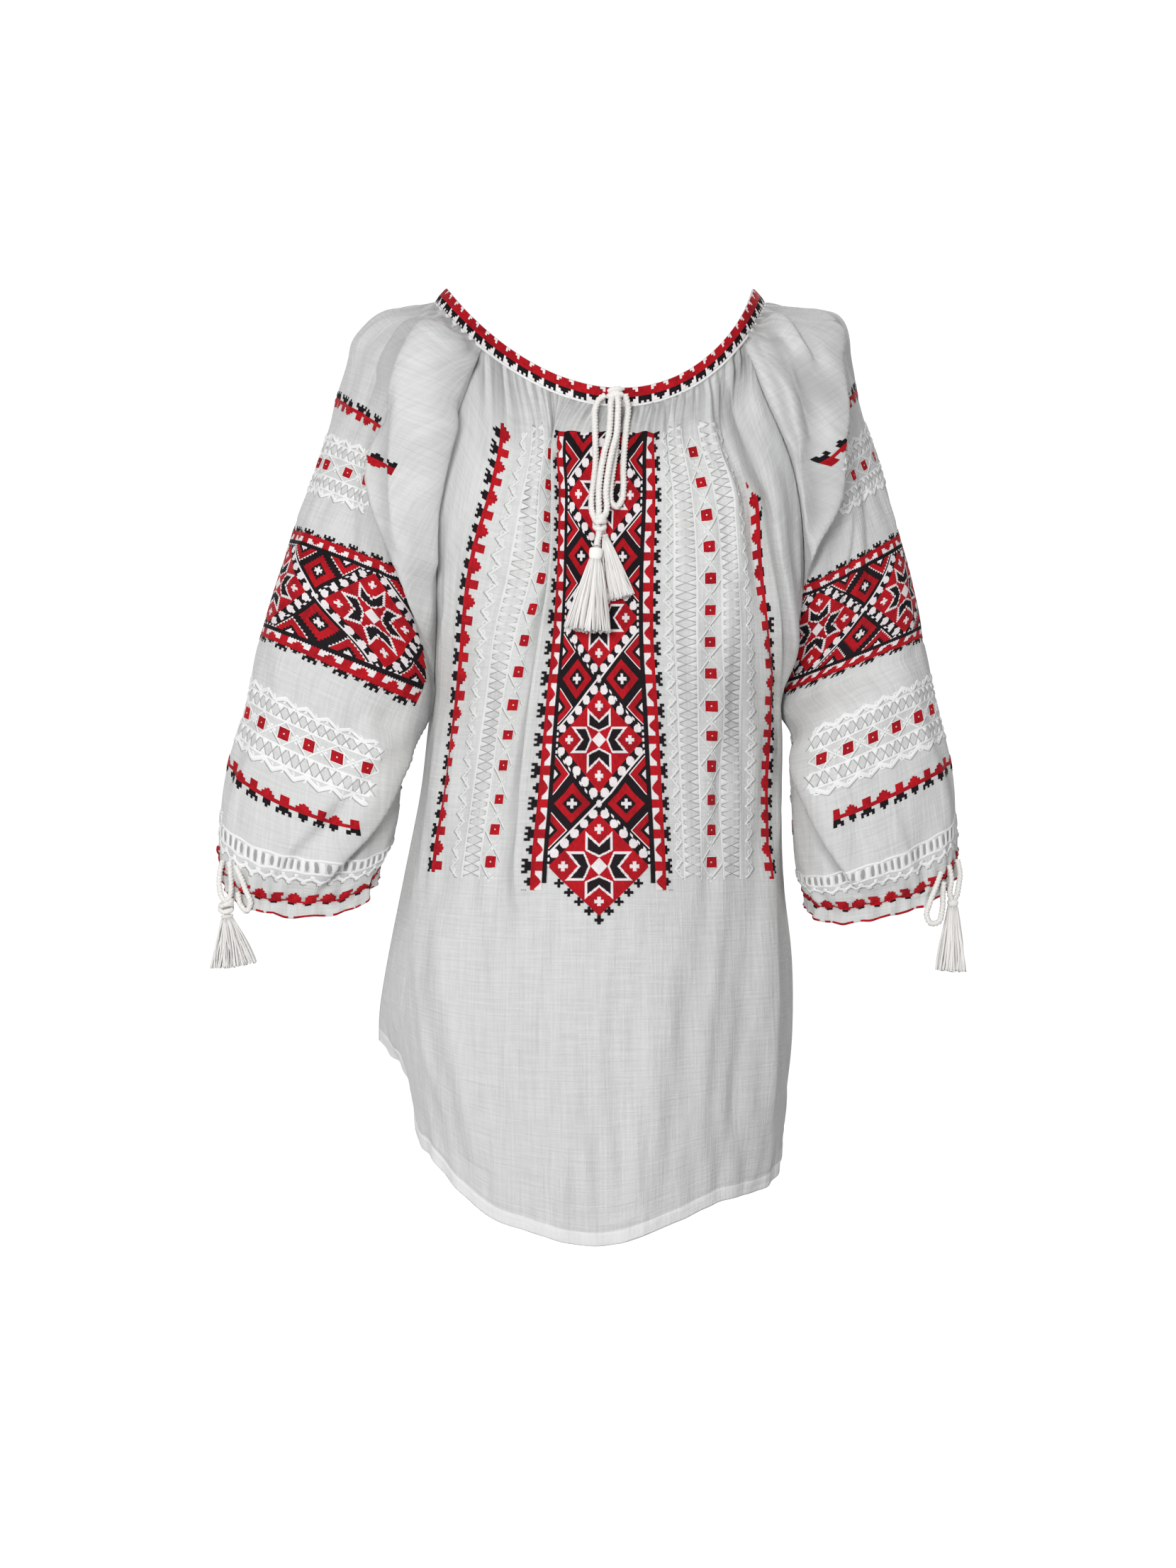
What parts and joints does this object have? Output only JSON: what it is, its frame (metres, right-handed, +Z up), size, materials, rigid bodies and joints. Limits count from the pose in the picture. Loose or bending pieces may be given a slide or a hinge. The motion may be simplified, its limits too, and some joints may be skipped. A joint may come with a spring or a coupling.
{
  "type": "embroidered peasant blouse",
  "caption": "Worn-form cotton peasant blouse with gathered round neck, drawstring and tassels, raglan bishop sleeves tied at the cuffs and a shirt-tail hem.",
  "frame": {"origin": "centre line of the garment at the height of the shoulder tips of the neck seam, midway between the neck's front and back, where the wearer's neck and shoulders hold it", "axes": "+Z up, +X to the viewer's right (the wearer's left), the front faces -Y"},
  "size_m": [0.571, 0.2719, 0.7254],
  "materials": {
    "cotton": "matte crinkled cotton gauze, off-white, slub weave",
    "band": "cotton band covered in red, black and white cross-stitch",
    "cord": "matte twisted white cotton cord",
    "tassel": "soft white cotton threads, slightly silky",
    "stitch_red": "red embroidery cotton, soft sheen",
    "stitch_black": "black embroidery cotton, soft sheen",
    "stitch_white": "white satin-stitch embroidery thread"
  },
  "bodies": {
    "root": {"front": "cotton", "back": "cotton", "sleeve_right": "cotton", "sleeve_left": "cotton", "neck_band": "band", "neck_bow": "cord", "neck_cord_a": "cord", "neck_cord_b": "cord", "neck_cord_c": "cord", "neck_loop": "cord", "neck_knot": "cord", "neck_stem": "cord", "neck_tassel_a": "tassel", "neck_tassel_b": "tassel", "cuff_cord_right": "cord", "cuff_end_right": "cord", "cuff_loop_right": "cord", "cuff_knot_right": "cord", "cuff_tassel_right": "tassel", "cuff_cord_left": "cord", "cuff_end_left": "cord", "cuff_loop_left": "cord", "cuff_tassel_left": "tassel"}
  },
  "joints": []
}
